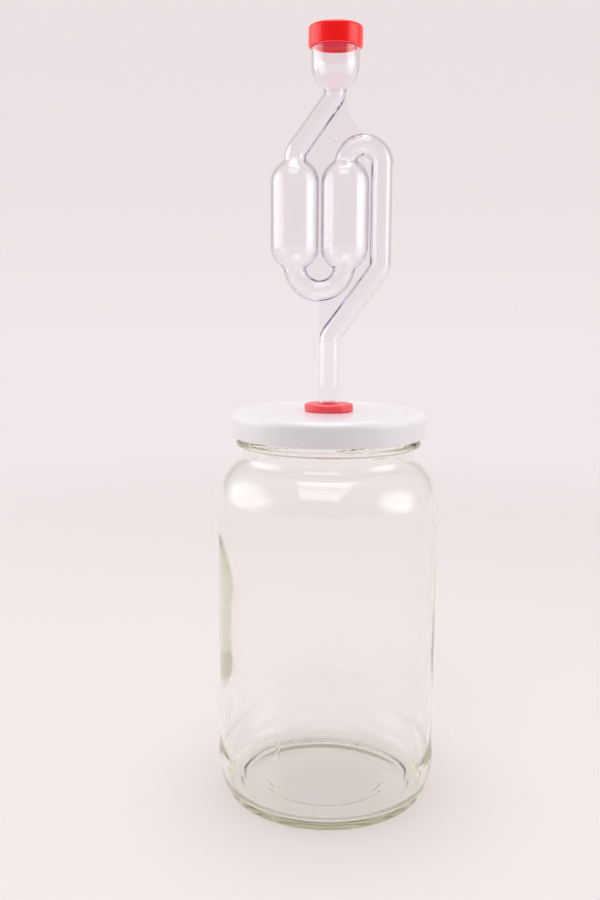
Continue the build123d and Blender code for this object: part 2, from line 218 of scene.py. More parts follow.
def moulded_red_polythene():
    """Red polythene, injection moulded: waxy gloss, faint flow marks, and a plug in the cup painted crimson
    as painted shade.

    A weak red glow is painted light, standing for the light that real polythene carries inside. The plug,
    shaded inside the cup, is given a stronger painted glow.
    """
    # Glow strengths are painted light: more on the plug, shaded inside the cup, than on the skirt and top.
    painted_plug_glow, painted_skirt_glow, roof_depth = 0.24, 0.15, 0.3
    material, tree, shader = finish("moulded_red_polythene", Roughness=0.2, Specular_IOR_Level=0.5)
    place = add(tree, "TexCoord").outputs["Object"]
    axis, flat = (cup_x * MM, 0.0, cap_top * MM), (1.0, 1.0, 0.0)
    off_axis = add(tree, "VectorMath", {"operation": "SUBTRACT"}, {0: place, 1: axis})
    off_axis = add(tree, "VectorMath", {"operation": "MULTIPLY"}, {0: off_axis.outputs[0], 1: flat})
    radius = add(tree, "VectorMath", {"operation": "LENGTH"}, {0: off_axis.outputs[0]}).outputs["Value"]
    # 0 at the plug inside the cup and 1 on the skirt and top: it places the painted crimson and the stronger
    # painted glow on the plug.
    skirt = add(tree, "MapRange", {}, {0: radius, 1: cap_plug * MM, 2: cap_bore * MM})
    height = add(tree, "SeparateXYZ", {}, {0: place}).outputs[2]
    roof = add(tree, "MapRange", {}, {0: height, 1: cup_rim * MM, 2: (cup_rim + roof_depth) * MM})
    skirt = add(tree, "Math", {"operation": "MAXIMUM"}, {0: skirt.outputs[0], 1: roof.outputs[0]})
    glow = add(tree, "MapRange", {}, {0: skirt.outputs[0], 3: painted_plug_glow, 4: painted_skirt_glow})
    tree.links.new(glow.outputs[0], shader.inputs["Emission Strength"])
    flow = add(tree, "Mapping", {}, {"Vector": place, "Scale": (1.0, 1.0, 0.25)})
    cloud = add(tree, "TexNoise", {}, {"Vector": flow.outputs[0], "Scale": 1 / (2.5 * MM), "Detail": 3.0})
    tone = add(tree, "Mix", tint, {0: cloud.outputs[0], 6: linear("#F60002"), 7: linear("#FF0204")})
    # Painted shade: the plug is coloured crimson for how it looks in the shade of the cup.
    shade = add(tree, "Mix", tint, {0: skirt.outputs[0], 6: linear("#DC0042"), 7: tone.outputs[2]})
    for socket in ("Base Color", "Emission Color"):
        tree.links.new(shade.outputs[2], shader.inputs[socket])
    bump = add(tree, "Bump", {}, {"Height": cloud.outputs[0], "Strength": 0.3, "Distance": 0.06 * MM})
    tree.links.new(bump.outputs[0], shader.inputs["Normal"])
    return material


def cured_plastisol():
    """Off-white plastisol, poured and cured: soft looking, with tiny dimples."""
    material, tree, shader = finish("cured_plastisol", Base_Color=linear("#E9E4D8"), Roughness=0.5)
    place = add(tree, "TexCoord").outputs["Object"]
    dimple = add(tree, "TexNoise", {}, {"Vector": place, "Scale": 1 / (1.2 * MM), "Detail": 2.0})
    bump = add(tree, "Bump", {}, {"Height": dimple.outputs[0], "Strength": 0.4, "Distance": 0.06 * MM})
    tree.links.new(bump.outputs[0], shader.inputs["Normal"])
    return material


def arc(centre, radius, start, end, step=6.0):
    """Points on an arc about a centre, from one angle to another in degrees."""
    count = max(2, math.ceil(abs(end - start) / step))
    angles = [math.radians(start + (end - start) * i / count) for i in range(count + 1)]
    return [Vector((centre[0] + radius * math.cos(a), centre[1] + radius * math.sin(a))) for a in angles]


def rounded(corners, step=9.0):
    """Points along a line of corners given as (x, z, radius), each turned in an arc."""
    points = []
    for i, (x, z, radius) in enumerate(corners):
        here = Vector((x, z))
        if radius == 0 or i in (0, len(corners) - 1):
            points.append(here)
            continue
        before = (Vector(corners[i - 1][:2]) - here).normalized()
        after = (Vector(corners[i + 1][:2]) - here).normalized()
        half = before.angle(after) / 2
        centre = here + (before + after).normalized() * (radius / math.sin(half))
        start = here + before * (radius / math.tan(half)) - centre
        turn = (math.pi - 2 * half) * (1 if before.cross(after) < 0 else -1)
        count = max(2, math.ceil(math.degrees(abs(turn)) / step))
        points += [centre + Matrix.Rotation(turn * k / count, 2) @ start for k in range(count + 1)]
    return points


def spaced(points, longest):
    """The same line with no two neighbours further apart than that, and none in the same place."""
    line = [points[0]]
    for point in points[1:]:
        gap = (point - line[-1]).length
        if gap < 1e-4:
            continue
        count = max(1, math.ceil(gap / longest))
        start = line[-1]
        line += [start.lerp(point, (k + 1) / count) for k in range(count)]
    return line


def keep(radius, height, angle, place):
    """Leaves a turned point where it is."""
    return radius, height


def steps(count, *places):
    """Angles of equal steps round a turn, with finer steps at each place given in degrees."""
    extra = [place + off for place in places for off in (-0.9, -0.5, -0.25, 0.0, 0.25, 0.5, 0.9)]
    even = [360 * i / count for i in range(count)]
    even = [turn for turn in even if all(abs((turn - place + 180) % 360 - 180) > 1.0 for place in places)]
    return sorted(math.radians(turn % 360) for turn in even + extra)


def ramp(distance, width):
    """How far a distance has come along a width, from 0 to 1."""
    return max(0.0, min(1.0, distance / width))


def eased(level):
    """A level from 0 to 1 that starts and ends gently."""
    return level * level * (3 - 2 * level)


def turned(outline, angles, closed, shape=keep):
    """Points and faces of an outline turned round Z to each angle, each point moved by shape."""
    points, rings = [], []
    count = len(angles)
    for place, (radius, height) in enumerate(outline):
        if radius < 1e-6:
            rings.append([len(points)] * count)
            points.append((0, 0, height))
            continue
        rings.append(list(range(len(points), len(points) + count)))
        for angle in angles:
            r, z = shape(radius, height, angle, place)
            points.append((r * math.cos(angle), r * math.sin(angle), z))
    pairs = list(zip(rings, rings[1:])) + ([(rings[-1], rings[0])] if closed else [])
    faces = []
    for low, high in pairs:
        for i in range(count):
            j = (i + 1) % count
            faces.append(list(dict.fromkeys((low[i], low[j], high[j], high[i]))))
    return points, faces


def solid(name, points, faces):
    """An object made of points in millimetres and of faces that are turned to look outwards."""
    work = bmesh.new()
    placed = [work.verts.new(Vector(p) * MM) for p in points]
    for face in faces:
        work.faces.new([placed[i] for i in face])
    bmesh.ops.recalc_face_normals(work, faces=work.faces)
    mesh = bpy.data.meshes.new(name)
    work.to_mesh(mesh)
    work.free()
    made = bpy.data.objects.new(name, mesh)
    bpy.context.scene.collection.objects.link(made)
    return made


def smooth(mesh):
    """Shades a mesh smooth and leaves its sharp edges crisp."""
    mesh.shade_smooth()
    mesh.set_sharp_from_angle(angle=math.radians(sharp_edge))


def piece(name, points, faces, material, body, slot, *nodes):
    """A piece made of points in millimetres, riding on a body and standing for the CAD nodes named."""
    made = solid(name, points, faces)
    made.data.materials.append(material)
    smooth(made.data)
    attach(made, body)
    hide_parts(*nodes)
    return made


def thread_rise(angle, height):
    """How far the thread ridges stand out of the sealing land at an angle and height."""
    turn = math.degrees(angle)
    rise = 0.0
    for start in range(thread_starts):
        along = (turn - thread_first_angle - start * 360 / thread_starts) % 360
        if along > thread_turn:
            continue
        centre = jar_height - thread_low_drop + along * thread_lead / 360
        flank = (thread_root_width - thread_tip_width) / 2
        across = ramp(thread_root_width / 2 - abs(height - centre), flank)
        ends = ramp(min(along, thread_turn - along), thread_fade)
        rise = max(rise, eased(across * ends))
    return rise * thread_height


def jar_section():
    """Outline of the jar from the middle of its underside to the middle of its floor.

    Also how many of its points come first, under the base, and how many come before its bore.
    """
    heel = (body_radius - heel_radius, heel_height)
    foot_reach, foot_drop = heel_radius - foot_radius, heel_height - foot_radius
    foot = (heel[0] + math.sqrt(foot_reach**2 - foot_drop**2), foot_radius)
    heel_turn = math.degrees(math.atan2(foot[1] - heel[1], foot[0] - heel[0]))
    bearing = foot[0] - bearing_width
    dome_reach = bearing - base_dome_start
    dome_radius = (dome_reach**2 + base_hollow**2) / (2 * base_hollow)
    dome = (base_dome_start, base_hollow - dome_radius)
    dome_turn = math.degrees(math.asin(dome_reach / dome_radius))
    bead_bottom, bead_top = jar_height - bead_bottom_drop, jar_height - bead_top_drop
    neck = (land_radius - neck_relief + neck_fillet, bead_bottom - bead_fillet - neck_straight)
    shoulder_x = body_radius - shoulder_radius
    reach = shoulder_radius + neck_fillet
    shoulder = (shoulder_x, neck[1] - math.sqrt(reach**2 - (neck[0] - shoulder_x) ** 2))
    neck_turn = math.degrees(math.atan2(neck[1] - shoulder[1], neck[0] - shoulder[0]))
    panel_radius = body_radius - panel_recess
    panel_bottom, panel_top = heel_height + panel_above_heel, shoulder[1] - panel_below_shoulder
    neck_radius = land_radius - neck_relief
    bead = land_radius + bead_reach
    bore, rim_bore = neck_radius - glass_wall, land_radius - rim_glass
    inner, floor_z = body_radius - glass_wall, base_hollow + base_glass

    outside = spaced([Vector((0, base_hollow)), Vector((base_dome_start, base_hollow))], longest=3.0)
    outside += arc(dome, dome_radius, 90, 90 - dome_turn, step=0.2)[1:]
    outside += spaced([outside[-1], Vector((foot[0], 0))], longest=0.3)[1:]
    under = len(outside)
    outside += arc(foot, foot_radius, -90, heel_turn)[1:]
    outside += arc(heel, heel_radius, heel_turn, 0, step=2.0)[1:]
    panel = rounded(
        [
            (body_radius, heel_height, 0),
            (body_radius, panel_bottom, panel_low_round),
            (panel_radius, panel_bottom + panel_step, panel_round),
            (panel_radius, panel_top - panel_step, panel_round),
            (body_radius, panel_top, panel_round),
            (body_radius, shoulder[1], 0),
        ],
        step=1.0,
    )
    outside += spaced(panel, longest=4.0)[1:]
    outside += arc(shoulder, shoulder_radius, 0, neck_turn, step=3.0)[1:]
    outside += arc(neck, neck_fillet, 180 + neck_turn, 180)[1:]
    finish_line = rounded(
        [
            (neck_radius, neck[1], 0),
            (neck_radius, bead_bottom, bead_fillet),
            (bead, bead_bottom, bead_round),
            (bead, bead_top, bead_round),
            (land_radius, bead_top, land_fillet),
            (land_radius, jar_height, rim_outer_round),
            (rim_bore, jar_height, rim_inner_round),
            (rim_bore, jar_height - rim_bore_drop, bore_round),
            (bore, jar_height - rim_bore_drop - bore_taper, bore_round),
            (bore, neck[1], 0),
        ]
    )
    # The bead, the threaded land and the rim need close rows, and the plain neck below and the bore don't.
    close = spaced(finish_line, longest=0.3)
    on_threads = [p for p in close if p[1] > bead_bottom - 1 and p[0] > land_radius - 1.6]
    outside += spaced(finish_line[:3], longest=1.0)[1:-1] + on_threads
    split = len(outside)
    inside = [p for p in finish_line if p[0] < rim_bore + 1e-3 and p[1] < jar_height - 0.5]
    inside = spaced(inside, longest=1.5)
    inside += arc(neck, neck_fillet + glass_wall, 180, 180 + neck_turn)[1:]
    inside += arc(shoulder, shoulder_radius - glass_wall, neck_turn, 0, step=3.0)[1:]
    inside += spaced([Vector((inner, shoulder[1])), Vector((inner, heel_height))], longest=4.0)[1:]
    reach, drop = heel_radius - glass_wall - floor_corner, heel_height - floor_z - floor_corner
    corner = (heel[0] + math.sqrt(reach**2 - drop**2), floor_z + floor_corner)
    corner_turn = -math.degrees(math.asin(drop / reach))
    inside += arc(heel, heel_radius - glass_wall, 0, corner_turn, step=2.0)[1:]
    inside += arc(corner, floor_corner, corner_turn, -90)[1:]
    crown = Vector((floor_crown_radius, floor_z + floor_rise))
    inside += spaced([inside[-1], crown, Vector((0, crown[1]))], longest=3.0)[1:]
    return outside + inside, under, split


def uneven_wall(angle, height):
    """How much thicker the wall is at an angle and height: slow waves, and a thick band on one side."""
    around = Vector((math.cos(angle), math.sin(angle), height * wave_stretch)) * wave_scale
    waves = wave_height * noise.noise(around)
    off = math.degrees(angle) - thick_band_angle
    band = sum(rise * math.exp(-(((height - z) / spread) ** 2)) for z, spread, rise in thick_band)
    fade = ramp(uneven_high - height, uneven_high_fade) * ramp(height - uneven_low, uneven_low_fade)
    return waves * fade + band * math.exp(-((off / thick_band_spread) ** 2))


def glass_jar():
    """The jar: threads, a knurl and a ring under its base, mould seams and a slightly uneven wall."""
    section, under, split = jar_section()
    bead_bottom = jar_height - bead_bottom_drop

    def shape(radius, height, angle, place):
        if place >= split:
            return radius - uneven_wall(angle, height), height
        if height > bead_bottom + 1 and radius > land_radius - 0.3:
            return max(radius, land_radius + thread_rise(angle, height)), height
        if place < under:
            across = ramp(base_ring_width / 2 - abs(radius - base_ring_radius), base_ring_width / 2)
            groove = base_ring_depth * across * ramp(-math.sin(angle) - base_ring_start, base_ring_fade)
            across = ramp(knurl_width / 2 - abs(radius - knurl_radius), knurl_width / 2)
            knurl = knurl_depth * across * (0.5 + 0.5 * math.cos(knurl_ribs * angle))
            return radius, height + groove + knurl
        if height < seam_low or height > bead_bottom - seam_below_bead:
            return radius, height
        off = abs((math.degrees(angle) - seam_angle + 90) % 180 - 90)
        return radius + seam_height * ramp(seam_width - off, seam_width) * ramp(height, seam_fade), height

    points, faces = turned(section, steps(288, seam_angle, seam_angle + 180), False, shape)
    glass = pressed_soda_lime_glass()
    return piece("jar_pressed_glass", points, faces, glass, "jar", "jar_glass", "glass_jar")


def lid_shell():
    """The lid: raised border, drawn corner, inward curl with six lugs, and the punched hole."""
    hole = grommet_groove + hole_gap
    wall = lid_radius - lid_steel
    step_x = lid_panel_radius + lid_step_width
    curl = (lid_radius - curl_radius, lid_bottom + curl_radius)
    top = rounded(
        [
            (hole, panel_z, 0),
            (lid_panel_radius, panel_z, lid_step_round),
            (step_x, lid_top, lid_step_round),
            (lid_radius, lid_top, lid_corner),
            (lid_radius, curl[1], 0),
        ]
    )
    meet = math.degrees(math.acos((curl_radius - lid_steel) / curl_radius))
    roll = arc(curl, curl_radius, 0, meet - 360, step=12.0)
    under = rounded(
        [
            (wall, roll[-1][1], 0),
            (wall, lid_top - lid_steel, lid_corner - lid_steel),
            (step_x, lid_top - lid_steel, lid_step_round),
            (lid_panel_radius, panel_z - lid_steel, lid_step_round),
            (hole, panel_z - lid_steel, 0),
        ]
    )
    top = spaced(top, longest=4.0)
    section = top + roll[1:] + spaced(under, longest=4.0)[1:]
    rolled = range(len(top), len(top) + len(roll) - 1)
    lug_reach = curl[0] - curl_radius - land_radius - lug_gap
    rise = lid_bottom + lug_height / 2 - (jar_height - thread_low_drop) - thread_lead / thread_starts / 2
    first = thread_first_angle + rise * 360 / thread_lead
    pitch = 360 / thread_starts

    def shape(radius, height, angle, place):
        if place not in rolled or radius > curl[0]:
            return radius, height
        off = (math.degrees(angle) - first + pitch / 2) % pitch - pitch / 2
        level = ramp((lug_turn + lug_fade) / 2 - abs(off), lug_fade)
        share = (curl[0] - radius) / curl_radius * eased(level)
        squash = max(0.0, height - lid_bottom - lug_height) * share
        return radius - lug_reach * share, height - squash

    points, faces = turned(section, steps(360), True, shape)
    lacquer = baked_white_lacquer()
    return piece("lid_lacquered_steel", points, faces, lacquer, "lid", "lid_lacquer", "lid_shell")


def grommet():
    """The grommet: a soft edged flange, the groove in the lid's hole and a tapered plug below."""
    under = panel_z - lid_steel
    top = panel_z + grommet_flange_height
    bore_middle = under - 3
    section = rounded(
        [
            (stem_bore, bore_middle, 0),
            (stem_bore, under - grommet_plug_height, 0.4),
            (grommet_tip, under - grommet_plug_height, 0.6),
            (grommet_plug, under, 0.3),
            (grommet_groove, under, 0.1),
            (grommet_groove, panel_z, 0.1),
            (grommet_flange, panel_z, 0.7),
            (grommet_flange, top, 0.9),
            (stem_bore, top, 0.7),
            (stem_bore, bore_middle + 0.1, 0),
        ]
    )
    points, faces = turned(spaced(section, longest=1.5), steps(128), True)
    rubber = moulded_red_rubber()
    return piece("grommet_red_rubber", points, faces, rubber, "stem_grommet", "red_rubber", "grommet")


def airlock_cap():
    """The cap: a skirt with softened edges, a plug ring inside the cup and four vents through its top."""
    under = cup_rim
    section = rounded(
        [
            (0, under, 0),
            (cap_plug - cap_plug_wall, under, 0.3),
            (cap_plug - cap_plug_wall, under - cap_plug_depth, 0.3),
            (cap_plug, under - cap_plug_depth, 0.4),
            (cap_plug, under, 0.2),
            (cap_bore, under, 0.2),
            (cap_bore, cap_bottom, 0.25),
            (cap_radius, cap_bottom, 0.35),
            (cap_radius, cap_top, cap_round),
            (0, cap_top, 0),
        ]
    )
    points, faces = turned(spaced(section, longest=1.2), steps(144), False)
    points = [(x + cup_x, y, z) for x, y, z in points]
    polythene = moulded_red_polythene()
    cap = piece("cap_red_polythene", points, faces, polythene, "cap", "red_plastic", "airlock_cap")
    vents = [circle(x + cup_x, y, vent_radius, 24) for x, y in circle(0, 0, vent_ring_radius, vent_count)]
    combine(cap, [prism(vent, cup_rim - 1, cap_top + 1.5) for vent in vents], "DIFFERENCE")
    return cap


def gate_ring():
    """Work solid of the raised ring on the front of the web."""
    high = web_half + gate_ring_height
    inside, crest = gate_ring_radius - gate_ring_width, gate_ring_radius - gate_ring_width / 2
    section = [(inside, web_half / 2), (gate_ring_radius, web_half / 2), (gate_ring_radius, web_half)]
    section += [(crest + gate_ring_crest, high), (crest - gate_ring_crest, high), (inside, web_half)]
    points, faces = turned([Vector(p) for p in section], steps(32), True)
    return solid("work", [(x + gate_ring_x, -z, y + gate_ring_z) for x, y, z in points], faces)


def circle(x, y, radius, count):
    """Points of a flat ring."""
    angles = [2 * math.pi * k / count for k in range(count)]
    return [(x + radius * math.cos(a), y + radius * math.sin(a)) for a in angles]


def prism(outline, low, high):
    """A work solid: a flat outline in millimetres raised along Z from low to high."""
    count = len(outline)
    points = [(x, y, z) for z in (low, high) for x, y in outline]
    faces = [range(count), range(count, 2 * count)]
    faces += [(i, (i + 1) % count, (i + 1) % count + count, i + count) for i in range(count)]
    return solid("work", points, faces)


def combine(target, tools, operation):
    """Joins the work solids to target, or cuts them from it, and clears them away."""
    group = bpy.data.collections.new("work")
    for tool in tools:
        group.objects.link(tool)
    step = target.modifiers.new("work", "BOOLEAN")
    step.operation = operation
    step.solver = "EXACT"
    step.operand_type = "COLLECTION"
    step.collection = group
    bpy.context.view_layer.update()
    result = bpy.data.meshes.new_from_object(target.evaluated_get(bpy.context.evaluated_depsgraph_get()))
    target.modifiers.clear()
    old, target.data = target.data, result
    result.name = target.name
    bpy.data.meshes.remove(old)
    for tool in tools:
        bpy.data.objects.remove(tool)
    bpy.data.collections.remove(group)


def airlock_route():
    """Stations along the middle of the airlock's one winding bore, as points (x, z)."""
    line = rounded(
        [
            (0, stem_bottom, 0),
            (0, stem_bend_z, bend_radius),
            (side_tube_x, side_bend_z, bend_radius),
            (side_tube_x, tube_top_z + top_arc_radius, top_arc_radius),
            (chamber_right_x, tube_top_z + top_arc_radius, top_arc_radius),
            (chamber_right_x, u_bend_z - u_bend_radius, u_bend_radius),
            (chamber_left_x, u_bend_z - u_bend_radius, u_bend_radius),
            (chamber_left_x, chamber_bend_z, bend_radius),
            (cup_x, cup_bend_z, bend_radius),
            (cup_x, cup_rim, 0),
        ],
        step=4.0,
    )
    fine = spaced(line, longest=0.25)
    stations = [fine[0]]
    for here in fine[1:]:
        near = any(junction_near < (here - Vector(c)).length < junction_far for c in chamber_ends())
        near = near or here[1] > cup_rim - 1
        if (here - stations[-1]).length > (ring_close if near else ring_apart):
            stations.append(here)
    if (stations[-1] - fine[-1]).length > 1e-6:
        stations.append(fine[-1])
    return stations


def chamber_ends():
    """Centres of the round ends of the chambers and of the cup."""
    chambers = [(x, z) for x in (chamber_right_x, chamber_left_x) for z in (chamber_low_z, chamber_high_z)]
    return chambers + [(cup_x, cup_sphere_z)]


def airlock_rings(count, inset):
    """Rings round the bore's line that lie on the tubes, chambers and cup, set in from their outside.

    Each point lies where its spoke meets the blended surface, found by halving the stretch that holds it.
    """
    shortest, longest, halvings, nowhere = 1.0, 14.0, 30, 99.0
    stations = np.array([tuple(p) for p in airlock_route()])
    along = np.gradient(stations, axis=0)
    along /= np.linalg.norm(along, axis=1, keepdims=True)
    side = np.stack([along[:, 1], np.zeros(len(along)), -along[:, 0]], 1)
    centre = np.stack([stations[:, 0], np.zeros(len(stations)), stations[:, 1]], 1)
    turn = np.arange(count) * 2 * np.pi / count
    spokes = side[:, None] * np.cos(turn)[None, :, None] + np.array([0, 1, 0]) * np.sin(turn)[None, :, None]
    rooms = [(x, chamber_low_z, chamber_high_z) for x in (chamber_right_x, chamber_left_x)]
    rooms.append((cup_x, cup_sphere_z, cup_rim + nowhere))
    low = np.full(spokes.shape[:2], shortest)
    high = np.full(spokes.shape[:2], longest)
    for _ in range(halvings):
        reach = (low + high) / 2
        point = centre[:, None] + spokes * reach[..., None]
        level = reach - (tube_radius - inset)
        for x, bottom, top in rooms:
            axis = np.clip(point[..., 2], bottom, top)
            off = np.sqrt((point[..., 0] - x) ** 2 + point[..., 1] ** 2 + (point[..., 2] - axis) ** 2)
            nearest = np.clip(centre[:, 2], bottom, top)
            own = np.hypot(centre[:, 0] - x, centre[:, 2] - nearest) < chamber_radius + 2
            room = np.where(own[:, None], off - (chamber_radius - inset), nowhere)
            blend = np.maximum(junction_round - np.abs(level - room), 0) ** 2 / (4 * junction_round)
            level = np.minimum(level, room) - blend
        low, high = np.where(level < 0, reach, low), np.where(level < 0, high, reach)
    return centre[:, None] + spokes * low[..., None]


def web_plates():
    """Work solids of the flat web between the tubes and of the weld flange round the chambers and bends."""
    cup_side, top_side = cup_x + tube_radius, side_tube_x - top_arc_radius
    top_z = tube_top_z + top_arc_radius + tube_radius
    start, end = Vector((cup_side, cup_bend_z)), Vector((top_side, top_z))
    run = end - start
    middle = (start + end) / 2 + Vector((run.y, -run.x)).normalized() * web_edge_sag
    pull = 2 * middle - (start + end) / 2
    shares = [k / 12 for k in range(13)]
    free_edge = [start * (1 - t) ** 2 + pull * 2 * t * (1 - t) + end * t * t for t in shares]
    web = [
        (top_side, tube_top_z),
        (side_tube_x, tube_top_z),
        (side_tube_x, side_bend_z),
        (0, stem_bend_z),
        (-tube_radius, stem_bend_z),
        (-tube_radius, u_bend_z - u_bend_radius),
        (chamber_left_x, u_bend_z),
        (chamber_left_x, chamber_bend_z),
        (cup_x, cup_bend_z),
    ] + [tuple(p) for p in free_edge]
    outlines = [web]
    for x in (chamber_right_x, chamber_left_x):
        outlines.append(strip((x, chamber_low_z), (x, chamber_high_z), chamber_radius + chamber_rim))
    bend = tube_radius + chamber_rim
    outlines.append(bow((side_tube_x - top_arc_radius, tube_top_z), top_arc_radius, bend, 0))
    outlines.append(bow((chamber_left_x + u_bend_radius, u_bend_z), u_bend_radius, bend, 180))
    upright = Matrix.Rotation(math.pi / 2, 4, "X")
    plates = [prism(outline, -web_half, web_half) for outline in outlines]
    for plate in plates:
        plate.matrix_world = upright
    return plates


def strip(start, end, half):
    """Outline of a strip with round ends between two points."""
    run = Vector(end) - Vector(start)
    turn = math.degrees(math.atan2(run.y, run.x))
    ends = arc(end, half, turn - 90, turn + 90, step=4.0) + arc(start, half, turn + 90, turn + 270, step=4.0)
    return [tuple(p) for p in ends]


def bow(centre, radius, half, start):
    """Outline of a half ring about a point."""
    outside = arc(centre, radius + half, start, start + 180, step=2.0)
    inside = arc(centre, radius - half, start + 180, start, step=2.0)
    return [tuple(p) for p in outside + inside]


def airlock():
    """The airlock: outer skin joined to the web and flange, inner skin, and rounded lips at its open ends."""
    count = ring_points
    outer, inner = airlock_rings(count, 0.0), airlock_rings(count, tube_wall)
    for skin in (outer, inner):
        skin[0, :, 2] += lip_round
        skin[-1, :, 2] -= lip_round
    rows = len(outer)
    points = [tuple(p) for p in outer.reshape(-1, 3)]
    faces = [
        (i * count + k, i * count + (k + 1) % count, (i + 1) * count + (k + 1) % count, (i + 1) * count + k)
        for i in range(rows - 1)
        for k in range(count)
    ]
    faces += [tuple(range(count)), tuple(range((rows - 1) * count, rows * count))]
    made = piece(
        "airlock_clear_moulding",
        points,
        faces,
        moulded_clear_styrene(),
        "airlock",
        "clear_plastic",
        "airlock_front_shell",
        "airlock_rear_shell",
    )
    combine(made, web_plates() + [gate_ring()], "UNION")
    work = bmesh.new()
    work.from_mesh(made.data)
    # The flat ends that close the outer skin go, and a ring of lips and the bore take their place.
    caps = [f for f in work.faces if len(f.verts) >= count and abs(f.normal.z) > 0.99]
    bmesh.ops.delete(work, geom=caps, context="FACES_ONLY")

    def ring(places):
        return [work.verts.new(Vector(p) * MM) for p in places]

    def lip(outside, inside, push):
        middle = (outside + inside) / 2
        tips = [side * (1 - lip_inset) + middle * lip_inset for side in (outside, inside)]
        for tip in tips:
            tip[:, 2] += push
        return [ring(outside), ring(tips[0]), ring(tips[1])]

    rings = lip(outer[0], inner[0], -lip_round)
    rings += [ring(row) for row in inner]
    rings += lip(outer[-1], inner[-1], lip_round)[::-1]
    for low, high in zip(rings, rings[1:]):
        for k in range(count):
            j = (k + 1) % count
            work.faces.new((low[k], low[j], high[j], high[k]))
    bmesh.ops.remove_doubles(work, verts=work.verts, dist=0.002 * MM)
    bmesh.ops.recalc_face_normals(work, faces=work.faces)
    work.to_mesh(made.data)
    work.free()
    smooth(made.data)
    return made


def seen_rays(tree):
    """1 for what the camera sees, straight or through glass or gloss, and 0 for light falling on things."""
    path = add(tree, "LightPath")
    seen = path.outputs["Is Camera Ray"]
    for kind in ("Is Glossy Ray", "Is Transmission Ray"):
        seen = add(tree, "Math", {"operation": "MAXIMUM"}, {0: seen, 1: path.outputs[kind]}).outputs[0]
    return seen


def room():
    """A pale room round everything, dimmer in front for reflections and for light piped along in the glass.

    The light that it sheds on the object comes mostly from both sides.
    """
    horizon_low, horizon_high, front_start, front_end, front_dim = -0.12, 0.22, 0.2, -0.8, 0.55
    fill_least, fill_most = 0.18, 1.08
    world = bpy.data.worlds.new("pale_room")
    bpy.context.scene.world = world
    world.use_nodes = True
    tree = world.node_tree
    tree.nodes.clear()
    path = add(tree, "LightPath")
    mirrored, entered = path.outputs["Glossy Depth"], path.outputs["Transmission Depth"]
    turns = add(tree, "Math", {"operation": "MULTIPLY"}, {0: mirrored, 1: entered})
    piped = add(tree, "Math", {"operation": "GREATER_THAN"}, {0: turns.outputs[0], 1: 0.5})
    towards = add(tree, "SeparateXYZ", {}, {0: add(tree, "TexCoord").outputs["Generated"]})
    rise = add(tree, "MapRange", gentle, {0: towards.outputs[2], 1: horizon_low, 2: horizon_high})
    paper = add(tree, "Mix", tint, {0: rise.outputs[0], 6: linear("#F1E8E9"), 7: linear("#ECE1E2")})
    front = {0: towards.outputs[1], 1: front_start, 2: front_end, 3: 0.0, 4: front_dim}
    front = add(tree, "MapRange", gentle, front)
    from_gloss = path.outputs["Is Glossy Ray"]
    dimmed = add(tree, "Math", {"operation": "MULTIPLY"}, {0: front.outputs[0], 1: from_gloss})
    level = add(tree, "Math", {"operation": "SUBTRACT"}, {0: 1.0, 1: dimmed.outputs[0]})
    backdrop = add(tree, "Background", {}, {"Color": paper.outputs[2], "Strength": level.outputs[0]})
    dim_end = add(tree, "Background", {}, {"Color": linear("#D6CDCB"), "Strength": 1.0})
    sides = add(tree, "Math", {"operation": "POWER"}, {0: towards.outputs[0], 1: 2.0})
    sides = add(tree, "MapRange", {}, {0: sides.outputs[0], 3: fill_least, 4: fill_most})
    fill = add(tree, "Background", {}, {"Color": linear("#ECE6EA"), "Strength": sides.outputs[0]})
    shown = add(tree, "MixShader", {}, {0: piped.outputs[0], 1: backdrop.outputs[0], 2: dim_end.outputs[0]})
    mix = add(tree, "MixShader", {}, {0: seen_rays(tree), 1: fill.outputs[0], 2: shown.outputs[0]})
    add(tree, "OutputWorld", {}, {"Surface": mix.outputs[0]})


